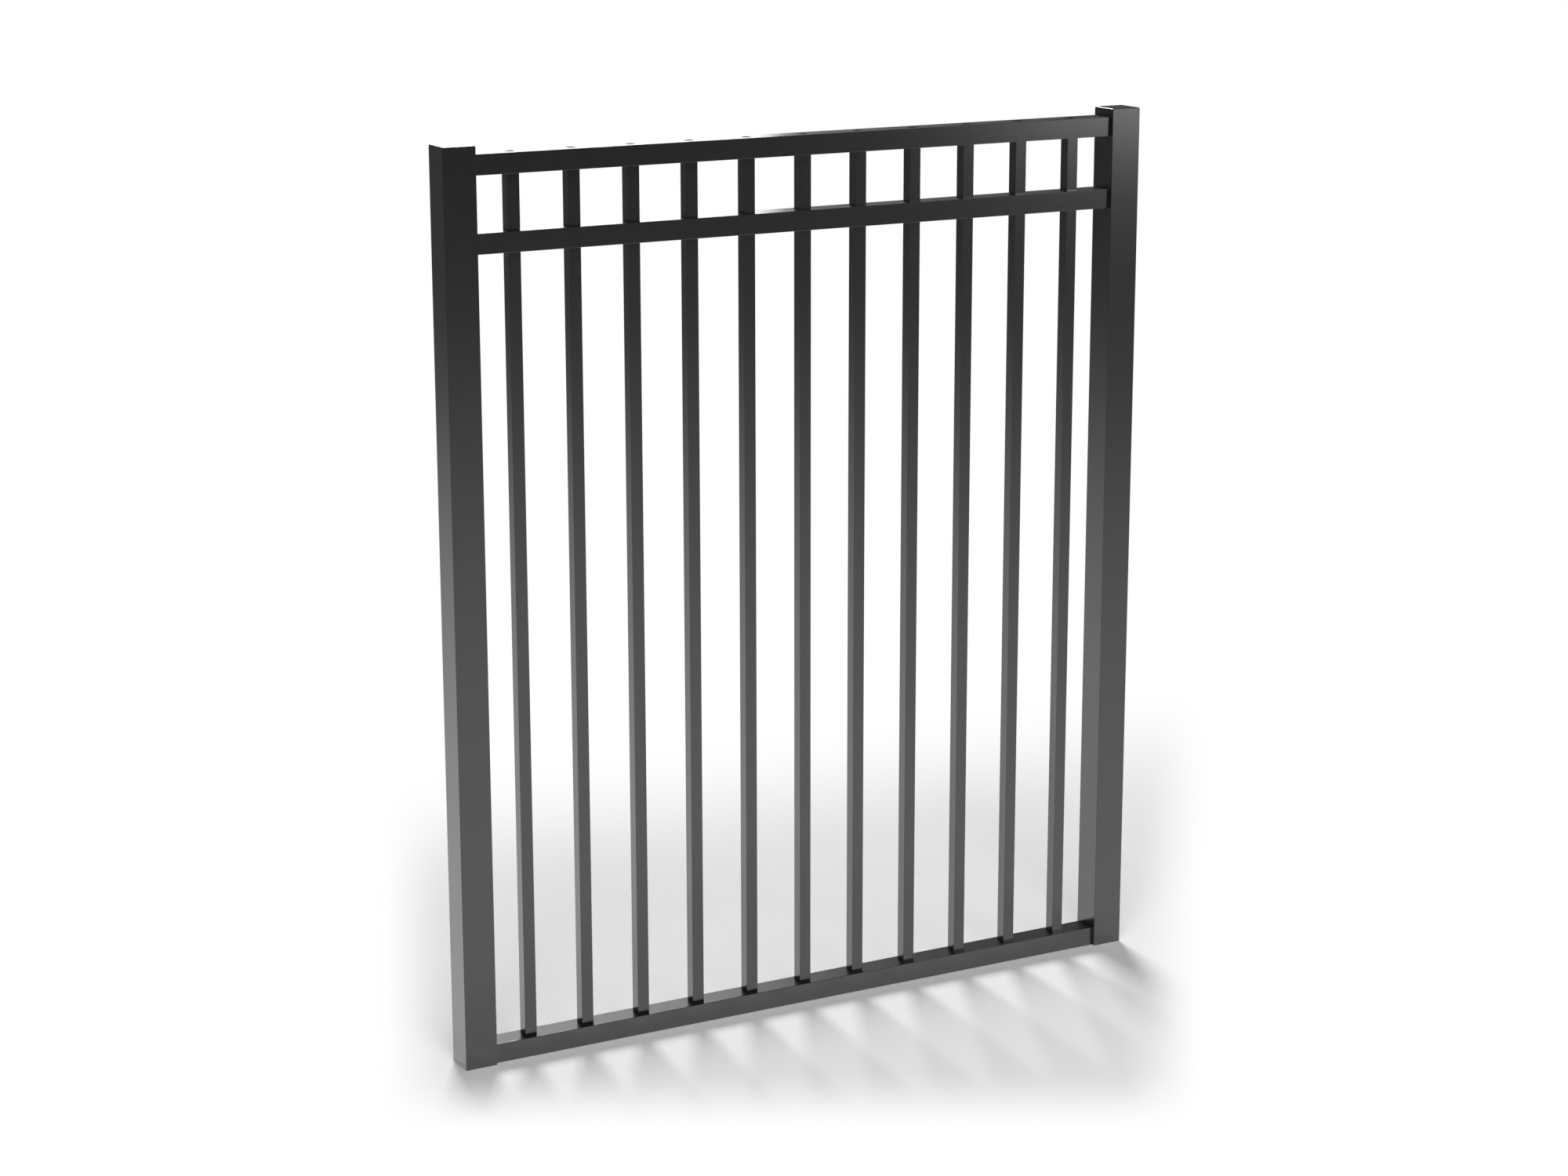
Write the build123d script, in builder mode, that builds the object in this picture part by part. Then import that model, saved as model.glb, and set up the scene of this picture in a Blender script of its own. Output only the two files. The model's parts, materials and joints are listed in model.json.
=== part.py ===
"""Pool gate leaf: two square uprights with flat caps, three rails and a row of pickets.

Millimetres. X runs along the gate from the outer face of the hinge-side upright, Y runs
through its thickness from the middle plane, and Z is up from the foot of the uprights.
"""
import os

from build123d import *

INCH = 25.4

# Overall sizes of the leaf
gate_width = 46.5 * INCH
fence_height = 54.0 * INCH
upright_rise = 0.5 * INCH

# Tube sections: outer size, wall, and the small radius on the long edges
upright_size = 2.0 * INCH
upright_wall = 0.125 * INCH
upright_radius = 0.7

rail_depth = 1.5 * INCH
rail_height = 1.1875 * INCH
rail_wall = 0.08 * INCH
rail_radius = 0.6

picket_size = 0.75 * INCH
picket_wall = 0.0625 * INCH
picket_radius = 0.5

# Spacing
picket_pitch = 3.75 * INCH
upper_gap = 3.25 * INCH

# Caps on the uprights
cap_thickness = 0.125 * INCH
cap_radius = 1.5
cap_edge = 1.2
cap_skirt_wall = 0.08 * INCH
cap_skirt_clearance = 1.5

# Round holes in the top face of the top rail, one over each picket
rail_hole_diameter = 0.5625 * INCH

# Fits
fit_gap = 0.2
rail_reach = 0.5 * INCH
picket_top_gap = 0.125 * INCH

# Sizes that follow from those above
upright_height = fence_height + upright_rise
tube_height = upright_height - cap_thickness
upright_bore = upright_size - 2 * upright_wall
clear_width = gate_width - 2 * upright_size
cap_skirt_depth = upright_rise - cap_thickness - cap_skirt_clearance

rail_start = upright_size - upright_wall - rail_reach
rail_length = gate_width - 2 * rail_start
top_rail_base = fence_height - rail_height
middle_rail_base = top_rail_base - upper_gap - rail_height
bottom_rail_base = 0.0

opening_width = rail_depth + 2 * fit_gap
opening_height = rail_height + 2 * fit_gap
opening_depth = upright_wall + rail_reach + fit_gap

picket_count = int(clear_width / picket_pitch)
picket_base = bottom_rail_base + rail_wall
picket_length = fence_height - rail_wall - picket_top_gap - picket_base
picket_hole = picket_size + 2 * fit_gap
first_picket = gate_width / 2 - (picket_count - 1) / 2 * picket_pitch
picket_xs = [first_picket + i * picket_pitch for i in range(picket_count)]
picket_spots = [(x, 0) for x in picket_xs]

os.makedirs("parts", exist_ok=True)


# Uprights: square tubes with an opening in the inner wall for the end of each rail.
# The lowest opening runs out at the foot, because the bottom rail is flush with it.
rail_bases = [bottom_rail_base, middle_rail_base, top_rail_base]
upright_sides = [
    ("left_upright", upright_size / 2, upright_size),
    ("right_upright", gate_width - upright_size / 2, gate_width - upright_size),
]
for upright_name, upright_x, inner_face_x in upright_sides:
    with BuildPart() as upright:
        with BuildSketch():
            with Locations((upright_x, 0)):
                RectangleRounded(upright_size, upright_size, upright_radius)
                Rectangle(upright_bore, upright_bore, mode=Mode.SUBTRACT)
        extrude(amount=tube_height)
        with BuildSketch(Plane.YZ.offset(inner_face_x)):
            with Locations([(0, rail_base + rail_height / 2) for rail_base in rail_bases]):
                RectangleRounded(opening_width, opening_height, rail_radius + fit_gap)
            with Locations((0, bottom_rail_base)):
                Rectangle(opening_width, rail_height)
        extrude(amount=opening_depth, both=True, mode=Mode.SUBTRACT)
    upright.part.label = upright_name
    export_step(upright.part, f"parts/{upright_name}.step")


# Caps: a flat plate flush with the tube's sides, with its corners and top edge rounded, and
# a skirt that drops into the bore.
cap_spots = [
    ("left_cap", upright_size / 2),
    ("right_cap", gate_width - upright_size / 2),
]
for cap_name, cap_x in cap_spots:
    with BuildPart() as cap:
        with BuildSketch(Plane.XY.offset(tube_height)):
            with Locations((cap_x, 0)):
                RectangleRounded(upright_size, upright_size, cap_radius)
        extrude(amount=cap_thickness)
        fillet(cap.faces().sort_by(Axis.Z)[-1].edges(), cap_edge)
        with BuildSketch(Plane.XY.offset(tube_height)):
            with Locations((cap_x, 0)):
                skirt_size = upright_bore - 2 * fit_gap
                Rectangle(skirt_size, skirt_size)
                skirt_bore = skirt_size - 2 * cap_skirt_wall
                Rectangle(skirt_bore, skirt_bore, mode=Mode.SUBTRACT)
        extrude(amount=-cap_skirt_depth)
    cap.part.label = cap_name
    export_step(cap.part, f"parts/{cap_name}.step")


# Rails: rectangular tubes that run from inside one upright to inside the other, with a
# square hole for each picket in the walls it passes.
rails = [
    ("bottom_rail", bottom_rail_base, False, True),
    ("middle_rail", middle_rail_base, True, True),
    ("top_rail", top_rail_base, True, False),
]
for rail_name, rail_base, lower_holes, upper_holes in rails:
    rail_middle = rail_base + rail_height / 2
    with BuildPart() as rail:
        with BuildSketch(Plane.YZ.offset(rail_start)):
            with Locations((0, rail_middle)):
                RectangleRounded(rail_depth, rail_height, rail_radius)
                Rectangle(rail_depth - 2 * rail_wall, rail_height - 2 * rail_wall, mode=Mode.SUBTRACT)
        extrude(amount=rail_length)
        hole_bases = []
        if lower_holes:
            hole_bases.append(rail_base - rail_wall)
        if upper_holes:
            hole_bases.append(rail_base + rail_height - 2 * rail_wall)
        for hole_base in hole_bases:
            with BuildSketch(Plane.XY.offset(hole_base)):
                with Locations(picket_spots):
                    RectangleRounded(picket_hole, picket_hole, picket_radius + fit_gap)
            extrude(amount=3 * rail_wall, mode=Mode.SUBTRACT)
        if rail_name == "top_rail":
            with BuildSketch(Plane.XY.offset(rail_base + rail_height - 2 * rail_wall)):
                with Locations(picket_spots):
                    Circle(rail_hole_diameter / 2)
            extrude(amount=3 * rail_wall, mode=Mode.SUBTRACT)
    rail.part.label = rail_name
    export_step(rail.part, f"parts/{rail_name}.step")


# Pickets: square tubes that stand on the floor of the bottom rail, pass through the
# middle rail and end inside the top rail, just under its top wall.
for number, picket_x in enumerate(picket_xs, start=1):
    picket_name = f"picket_{number:02d}"
    with BuildPart() as picket:
        with BuildSketch(Plane.XY.offset(picket_base)):
            with Locations((picket_x, 0)):
                RectangleRounded(picket_size, picket_size, picket_radius)
                picket_bore = picket_size - 2 * picket_wall
                Rectangle(picket_bore, picket_bore, mode=Mode.SUBTRACT)
        extrude(amount=picket_length)
    picket.part.label = picket_name
    export_step(picket.part, f"parts/{picket_name}.step")
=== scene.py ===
"""Pool gate leaf in black powder coat, standing on a pale studio floor."""
import json
import math

import bmesh
import bpy
from mathutils import Matrix, Vector


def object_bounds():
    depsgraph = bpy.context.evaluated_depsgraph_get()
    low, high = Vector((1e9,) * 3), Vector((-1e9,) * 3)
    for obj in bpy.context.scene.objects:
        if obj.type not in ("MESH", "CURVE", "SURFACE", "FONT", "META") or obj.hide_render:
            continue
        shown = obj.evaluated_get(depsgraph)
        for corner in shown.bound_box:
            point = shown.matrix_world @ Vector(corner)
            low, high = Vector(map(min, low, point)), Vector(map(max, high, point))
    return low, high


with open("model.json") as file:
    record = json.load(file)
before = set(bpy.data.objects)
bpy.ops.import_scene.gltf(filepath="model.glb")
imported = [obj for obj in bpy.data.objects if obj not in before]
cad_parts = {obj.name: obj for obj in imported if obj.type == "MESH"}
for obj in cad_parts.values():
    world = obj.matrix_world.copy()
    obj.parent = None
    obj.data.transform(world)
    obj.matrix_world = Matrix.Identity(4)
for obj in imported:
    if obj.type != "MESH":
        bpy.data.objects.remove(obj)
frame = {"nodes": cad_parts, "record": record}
cad_low, cad_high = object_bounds()
scene = bpy.context.scene
scene.view_settings.view_transform = "Standard"


# Shader helpers

def add_node(tree, kind, label, **settings):
    """A new node with a plain name; settings are its own properties."""
    node = tree.nodes.new(kind)
    node.name = label
    node.label = label
    for key, value in settings.items():
        setattr(node, key, value)
    return node


def empty_material(name):
    """A material with no nodes yet, and its node tree."""
    material = bpy.data.materials.new(name)
    material.use_nodes = True
    material.node_tree.nodes.clear()
    return material, material.node_tree


def new_group(name, inputs, outputs):
    """An empty shader node group; inputs are (name, kind, default) and outputs are (name, kind)."""
    group = bpy.data.node_groups.new(name, "ShaderNodeTree")
    for label, kind, default in inputs:
        socket = group.interface.new_socket(label, in_out="INPUT", socket_type=kind)
        socket.default_value = default
    for label, kind in outputs:
        group.interface.new_socket(label, in_out="OUTPUT", socket_type=kind)
    return group, add_node(group, "NodeGroupInput", "in"), add_node(group, "NodeGroupOutput", "out")


def feed(tree, socket, value):
    """Links an output to a socket, or sets the socket to a number."""
    if isinstance(value, bpy.types.NodeSocket):
        tree.links.new(value, socket)
    else:
        socket.default_value = value


def combine(tree, label, operation, first, second):
    """The result of a sum on two values, each an output or a number."""
    node = add_node(tree, "ShaderNodeMath", label, operation=operation)
    feed(tree, node.inputs[0], first)
    feed(tree, node.inputs[1], second)
    return node.outputs["Value"]


def soft_ramp(tree, label, value, start, end, at_start, at_end):
    """A smooth change from one level to another as a value goes from start to end."""
    node = add_node(tree, "ShaderNodeMapRange", label, interpolation_type="SMOOTHSTEP")
    feed(tree, node.inputs["Value"], value)
    node.inputs["From Min"].default_value = start
    node.inputs["From Max"].default_value = end
    node.inputs["To Min"].default_value = at_start
    node.inputs["To Max"].default_value = at_end
    return node.outputs["Result"]


def noise(tree, label, place, per_metre, detail, roughness):
    """Cloudy noise from 0 to 1, with about so many lumps a metre."""
    node = add_node(tree, "ShaderNodeTexNoise", label, noise_dimensions="3D")
    feed(tree, node.inputs["Vector"], place)
    feed(tree, node.inputs["Scale"], per_metre)
    node.inputs["Detail"].default_value = detail
    node.inputs["Roughness"].default_value = roughness
    return node.outputs["Fac"]


def mirror_ray(tree, ray):
    """One for a ray that gloss or glass sends on, and nothing for the rest."""
    return combine(
        tree, "seen in gloss or glass", "MAXIMUM",
        ray.outputs["Is Glossy Ray"], ray.outputs["Is Transmission Ray"],
    )


# Effects that the coats share

# Orange peel: the fine dimples, and a slow wave under them that is thin on its crests
DIMPLE_DETAIL = 1.5
DIMPLE_ROUGHNESS = 0.45
WAVES_PER_DIMPLE = 0.12
WAVE_DETAIL = 2.0
WAVE_ROUGHNESS = 0.5
THIN_FROM = 0.55
THIN_FULLY = 0.75

# Drift of tone and gloss along a tube
PATCH_DETAIL = 3.0
PATCH_ROUGHNESS = 0.55
NOISE_MIDDLE = 0.5


def make_orange_peel():
    """The fine dimpled skin of baked powder, as a height and a mask of where the skin is thin."""
    group, inside, outside = new_group(
        "orange_peel",
        [
            ("Vector", "NodeSocketVector", (0.0, 0.0, 0.0)),
            ("Dimples per metre", "NodeSocketFloat", 420.0),
            ("Waviness", "NodeSocketFloat", 0.35),
        ],
        [("Height", "NodeSocketFloat"), ("Thin", "NodeSocketFloat")],
    )
    place = inside.outputs["Vector"]
    dimples = inside.outputs["Dimples per metre"]
    waves = combine(group, "waves per metre", "MULTIPLY", dimples, WAVES_PER_DIMPLE)
    fine = noise(group, "fine dimples", place, dimples, DIMPLE_DETAIL, DIMPLE_ROUGHNESS)
    slow = noise(group, "slow wave", place, waves, WAVE_DETAIL, WAVE_ROUGHNESS)
    wave_height = combine(group, "wave height", "MULTIPLY", slow, inside.outputs["Waviness"])
    height = combine(group, "skin height", "ADD", fine, wave_height)
    thin = soft_ramp(group, "thin skin", slow, THIN_FROM, THIN_FULLY, 0.0, 1.0)
    group.links.new(height, outside.inputs["Height"])
    group.links.new(thin, outside.inputs["Thin"])
    return group


def make_coat_tone():
    """Slow drift of depth and gloss over a length of coated tube, as multipliers about one."""
    group, inside, outside = new_group(
        "coat_tone",
        [
            ("Vector", "NodeSocketVector", (0.0, 0.0, 0.0)),
            ("Patches per metre", "NodeSocketFloat", 5.0),
            ("Tone Drift", "NodeSocketFloat", 0.12),
            ("Gloss Drift", "NodeSocketFloat", 0.08),
        ],
        [("Tone", "NodeSocketFloat"), ("Gloss", "NodeSocketFloat")],
    )
    place = inside.outputs["Vector"]
    patches = noise(
        group, "patches", place, inside.outputs["Patches per metre"], PATCH_DETAIL, PATCH_ROUGHNESS,
    )
    swing = combine(group, "swing about nothing", "SUBTRACT", patches, NOISE_MIDDLE)
    for label in ("Tone", "Gloss"):
        drift = combine(group, label + " swing", "MULTIPLY", swing, inside.outputs[label + " Drift"])
        about_one = combine(group, label + " about one", "ADD", drift, 1.0)
        group.links.new(about_one, outside.inputs[label])
    return group


# Powder coats

COAT_BLACK = (0.0085, 0.0085, 0.0089, 1.0)
COAT_IOR = 1.6
COAT_ROUGHNESS = 0.21

# Where the skin is thin: how much paler it can get, and how much of that shows
THIN_PALER = 1.35
THIN_SHOWS = 0.5

# Depth of the dimples in metres, and how strongly they bend the light
DIMPLE_DEPTH = 0.00012
DIMPLE_STRENGTH = 0.25

# The smooth clear film on top
TOP_FILM_IOR = 1.5
TOP_FILM_ROUGHNESS = 0.21

# Dimples and patches per metre on each material slot of the gate
COAT_SCALES = {
    "frame_coat": (420.0, 5.0),
    "picket_coat": (450.0, 7.0),
    "cap_coat": (440.0, 9.0),
}


def powder_coat(name, dimples, patches, orange_peel, coat_tone):
    """Semi-gloss black powder coat; dimples and patches are per metre."""
    material, tree = empty_material(name)
    link = tree.links.new
    place = add_node(tree, "ShaderNodeTexCoord", "place")

    peel = add_node(tree, "ShaderNodeGroup", "orange peel", node_tree=orange_peel)
    peel.inputs["Dimples per metre"].default_value = dimples
    link(place.outputs["Object"], peel.inputs["Vector"])
    drift = add_node(tree, "ShaderNodeGroup", "coat tone", node_tree=coat_tone)
    drift.inputs["Patches per metre"].default_value = patches
    link(place.outputs["Object"], drift.inputs["Vector"])

    black = add_node(tree, "ShaderNodeMix", "black with its drift", data_type="RGBA")
    black.blend_type = "MULTIPLY"
    black.inputs["Factor"].default_value = 1.0
    black.inputs["A"].default_value = COAT_BLACK
    link(drift.outputs["Tone"], black.inputs["B"])

    thin_black = [THIN_PALER * level for level in COAT_BLACK[:3]] + [1.0]
    thin_share = combine(tree, "thin share", "MULTIPLY", peel.outputs["Thin"], THIN_SHOWS)
    colour = add_node(tree, "ShaderNodeMix", "greyer where thin", data_type="RGBA")
    colour.inputs["B"].default_value = thin_black
    link(thin_share, colour.inputs["Factor"])
    link(black.outputs["Result"], colour.inputs["A"])

    roughness = combine(
        tree, "roughness with its drift", "MULTIPLY", drift.outputs["Gloss"], COAT_ROUGHNESS,
    )

    skin = add_node(tree, "ShaderNodeBump", "skin")
    skin.inputs["Strength"].default_value = DIMPLE_STRENGTH
    skin.inputs["Distance"].default_value = DIMPLE_DEPTH
    link(peel.outputs["Height"], skin.inputs["Height"])

    coat = add_node(tree, "ShaderNodeBsdfPrincipled", "powder coat")
    coat.inputs["IOR"].default_value = COAT_IOR
    coat.inputs["Coat Weight"].default_value = 1.0
    coat.inputs["Coat IOR"].default_value = TOP_FILM_IOR
    coat.inputs["Coat Roughness"].default_value = TOP_FILM_ROUGHNESS
    link(colour.outputs["Result"], coat.inputs["Base Color"])
    link(roughness, coat.inputs["Roughness"])
    link(skin.outputs["Normal"], coat.inputs["Normal"])
    link(skin.outputs["Normal"], coat.inputs["Coat Normal"])
    surface = add_node(tree, "ShaderNodeOutputMaterial", "surface")
    link(coat.outputs["BSDF"], surface.inputs["Surface"])
    return material


def coat_the_gate():
    """Gives each piece of the gate the coat of its material slot."""
    orange_peel = make_orange_peel()
    coat_tone = make_coat_tone()
    coats = {
        name: powder_coat(name, dimples, patches, orange_peel, coat_tone)
        for name, (dimples, patches) in COAT_SCALES.items()
    }
    slot_of = {part["node"]: part["material_slot"] for part in frame["record"]["subparts"]}
    for node_name, gate_piece in frame["nodes"].items():
        gate_piece.data.materials.clear()
        gate_piece.data.materials.append(coats[slot_of[node_name]])


coat_the_gate()


# Floor: a pale patch beside the gate, which keeps the lamps' cast shadows and is painted shade in its
# darker level and soft outline, and white further off

FLOOR_HALF = 60.0
# The floor's colour. Lit by the lamps, the patch beside the gate sits darker than the white beyond,
# which is painted shade around the gate
FLOOR_PALE = (0.80, 0.80, 0.80, 1.0)

# The floor lies this far under the feet, so that no two faces share a plane
FLOOR_DROP = 0.0003

# Edges of the pale patch, whose soft outline is painted shade in the shape of the gate's shadow: the
# way each one faces, how far out it starts and how wide it fades
PAINTED_SHADE_EDGES = [
    ("front", (-0.477, -0.879, 0.0), 0.015, 0.24),
    ("right", (0.807, -0.590, 0.0), 0.976, 0.14),
    ("left", (-0.929, 0.370, 0.0), 0.0, 0.13),
    ("back", (0.1, 0.995, 0.0), 0.8, 0.7),
]

# Painted light that gloss sees on the floor, which glows white for glossy rays: its share beside the
# gate, and its level, which is full near the middle of a painted pool of light and weaker far off
NEAR_PAINTED_GLOW_SHARE = 0.6
POOL_MIDDLE = ((cad_low.x + cad_high.x) / 2, -0.5, 0.0)
POOL_START = 0.3
POOL_END = 7.8
POOL_FAR_LEVEL = 0.11


def floor_material():
    """Pale floor patch beside the gate with the lamps' cast shadows and painted shade in its level and
    outline, plain white beyond its edges; gloss sees a painted glow.
    """
    material, tree = empty_material("studio_floor")
    link = tree.links.new
    place = add_node(tree, "ShaderNodeTexCoord", "place")

    def within_edge(label, facing, start, fade):
        """One on the near side of a straight soft edge on the floor, and nothing beyond its fade."""
        reach = add_node(tree, "ShaderNodeVectorMath", label + " reach", operation="DOT_PRODUCT")
        reach.inputs[1].default_value = facing
        link(place.outputs["Object"], reach.inputs[0])
        return soft_ramp(tree, label + " edge", reach.outputs["Value"], start, start + fade, 1.0, 0.0)

    # Painted shade: inside these edges the camera sees the lit pale floor, darker than the white
    # beyond, so the patch and its soft outline stand in for the spread of the gate's shadow
    in_painted_shade = 1.0
    for label, facing, start, fade in PAINTED_SHADE_EDGES:
        side = within_edge(label, facing, start, fade)
        in_painted_shade = combine(tree, "within " + label, "MULTIPLY", in_painted_shade, side)
    away = combine(tree, "away from the gate", "SUBTRACT", 1.0, in_painted_shade)

    from_gate = add_node(tree, "ShaderNodeVectorMath", "distance from the gate", operation="DISTANCE")
    from_gate.inputs[1].default_value = POOL_MIDDLE
    link(place.outputs["Object"], from_gate.inputs[0])
    # Painted pool of light: the glow that gloss sees on the floor is strongest near the gate and fades
    # far off
    pool = soft_ramp(
        tree, "pool of light", from_gate.outputs["Value"], POOL_START, POOL_END, 1.0, POOL_FAR_LEVEL,
    )

    ray = add_node(tree, "ShaderNodeLightPath", "ray")
    mirrored = mirror_ray(tree, ray)
    seen = combine(tree, "seen", "MAXIMUM", ray.outputs["Is Camera Ray"], mirrored)
    # Painted reflection: beside the gate gloss sees part glow in place of the lit floor and its shadows
    near_painted_glow = combine(tree, "white beside the gate in gloss", "MULTIPLY", mirrored, NEAR_PAINTED_GLOW_SHARE)
    whitened = combine(tree, "whitened", "MAXIMUM", away, near_painted_glow)
    white_share = combine(tree, "white share", "MULTIPLY", seen, whitened)
    white_level = combine(tree, "white level", "MAXIMUM", ray.outputs["Is Camera Ray"], pool)

    pale = add_node(tree, "ShaderNodeBsdfDiffuse", "pale floor")
    pale.inputs["Color"].default_value = FLOOR_PALE
    white = add_node(tree, "ShaderNodeEmission", "white floor")
    link(white_level, white.inputs["Strength"])
    both = add_node(tree, "ShaderNodeMixShader", "floor")
    link(white_share, both.inputs["Fac"])
    link(pale.outputs["BSDF"], both.inputs[1])
    link(white.outputs["Emission"], both.inputs[2])
    surface = add_node(tree, "ShaderNodeOutputMaterial", "surface")
    link(both.outputs["Shader"], surface.inputs["Surface"])
    return material


def studio_floor():
    """One large square under the feet of the gate."""
    shape = bmesh.new()
    bmesh.ops.create_grid(shape, x_segments=1, y_segments=1, size=FLOOR_HALF)
    bmesh.ops.translate(shape, verts=shape.verts, vec=(0.0, 0.0, cad_low.z - FLOOR_DROP))
    mesh = bpy.data.meshes.new("studio_floor")
    shape.to_mesh(mesh)
    shape.free()
    floor = bpy.data.objects.new("studio_floor", mesh)
    scene.collection.objects.link(floor)
    mesh.materials.append(floor_material())


studio_floor()


# Light

# The spot that the large lamps point at, low down near the middle of the gate
LAMP_AIM = (0.5, 0.0, 0.2)

# Level of the white world around the gate: what it lights plain surfaces with, and what gloss
# mirrors. The camera sees it as full white.
WORLD_DIM = 0.02
WORLD_IN_GLOSS = 0.065


def softbox(name, place, aim, width, height, watts, mirrored=True, shining=True):
    """A rectangular lamp that faces its aim and stays out of the picture.

    Gloss shows it if it is mirrored, and it lights plain surfaces if it is shining.
    """
    data = bpy.data.lights.new(name, "AREA")
    data.shape = "RECTANGLE"
    data.size = width
    data.size_y = height
    data.energy = watts
    lamp = bpy.data.objects.new(name, data)
    lamp.location = place
    lamp.rotation_euler = (Vector(aim) - Vector(place)).to_track_quat("-Z", "Y").to_euler()
    lamp.visible_camera = False
    lamp.visible_glossy = mirrored
    lamp.visible_diffuse = shining
    scene.collection.objects.link(lamp)


def studio_lamps():
    """Front and back lamps for the two soft shadows, and panels for the sheen on tops and sides."""
    softbox(
        "front_softbox", place=(-0.74, -2.83, 5.37), aim=LAMP_AIM,
        width=2.8, height=2.8, watts=192.0,
    )
    softbox(
        "back_softbox", place=(2.45, 6.28, 4.74), aim=LAMP_AIM,
        width=2.5, height=2.7, watts=635.0, mirrored=False,
    )
    softbox(
        "back_sheen_panel", place=(2.34, 6.07, 5.6), aim=LAMP_AIM,
        width=2.67, height=1.4, watts=530.0, shining=False,
    )
    softbox(
        "low_back_panel", place=(2.96, 7.0, 1.76), aim=(2.96, 0.0, 1.76),
        width=2.7, height=1.1, watts=28.0,
    )
    softbox(
        "low_side_panel", place=(3.07, -2.4, 1.61), aim=(1.1, 0.0, 1.3),
        width=1.0, height=1.1, watts=11.5,
    )


def studio_world():
    """A world that is white to the camera, and dim to the gate and the floor."""
    world = bpy.data.worlds.new("studio_world")
    scene.world = world
    world.use_nodes = True
    tree = world.node_tree
    tree.nodes.clear()
    link = tree.links.new
    ray = add_node(tree, "ShaderNodeLightPath", "ray")
    dim = add_node(tree, "ShaderNodeMapRange", "dim level")
    dim.inputs["To Min"].default_value = WORLD_DIM
    dim.inputs["To Max"].default_value = WORLD_IN_GLOSS
    link(mirror_ray(tree, ray), dim.inputs["Value"])
    level = combine(tree, "level", "MAXIMUM", ray.outputs["Is Camera Ray"], dim.outputs["Result"])
    sky = add_node(tree, "ShaderNodeBackground", "sky")
    sky.inputs["Color"].default_value = (1.0, 1.0, 1.0, 1.0)
    link(level, sky.inputs["Strength"])
    surface = add_node(tree, "ShaderNodeOutputWorld", "surface")
    link(sky.outputs["Background"], surface.inputs["Surface"])


studio_lamps()
studio_world()


# Camera, fitted to the gate's edges in the photograph: metres, radians and millimetres of lens

CAMERA_PLACE = (-1.76992, -4.28803, 1.88832)
CAMERA_YAW = 0.49739
CAMERA_PITCH = 0.24350
CAMERA_ROLL = 0.00119
CAMERA_LENS = 74.954
CAMERA_SENSOR = 36.0
CAMERA_FARTHEST = 200.0


def photo_camera():
    """A camera where the photograph was taken from."""
    data = bpy.data.cameras.new("photo_camera")
    data.sensor_fit = "HORIZONTAL"
    data.sensor_width = CAMERA_SENSOR
    data.lens = CAMERA_LENS
    data.clip_end = CAMERA_FARTHEST
    camera = bpy.data.objects.new("photo_camera", data)
    turn = Matrix.Rotation(-CAMERA_YAW, 4, "Z")
    tilt = Matrix.Rotation(math.pi / 2 - CAMERA_PITCH, 4, "X")
    roll = Matrix.Rotation(-CAMERA_ROLL, 4, "Z")
    camera.matrix_world = Matrix.Translation(CAMERA_PLACE) @ turn @ tilt @ roll
    scene.collection.objects.link(camera)
    scene.camera = camera


photo_camera()
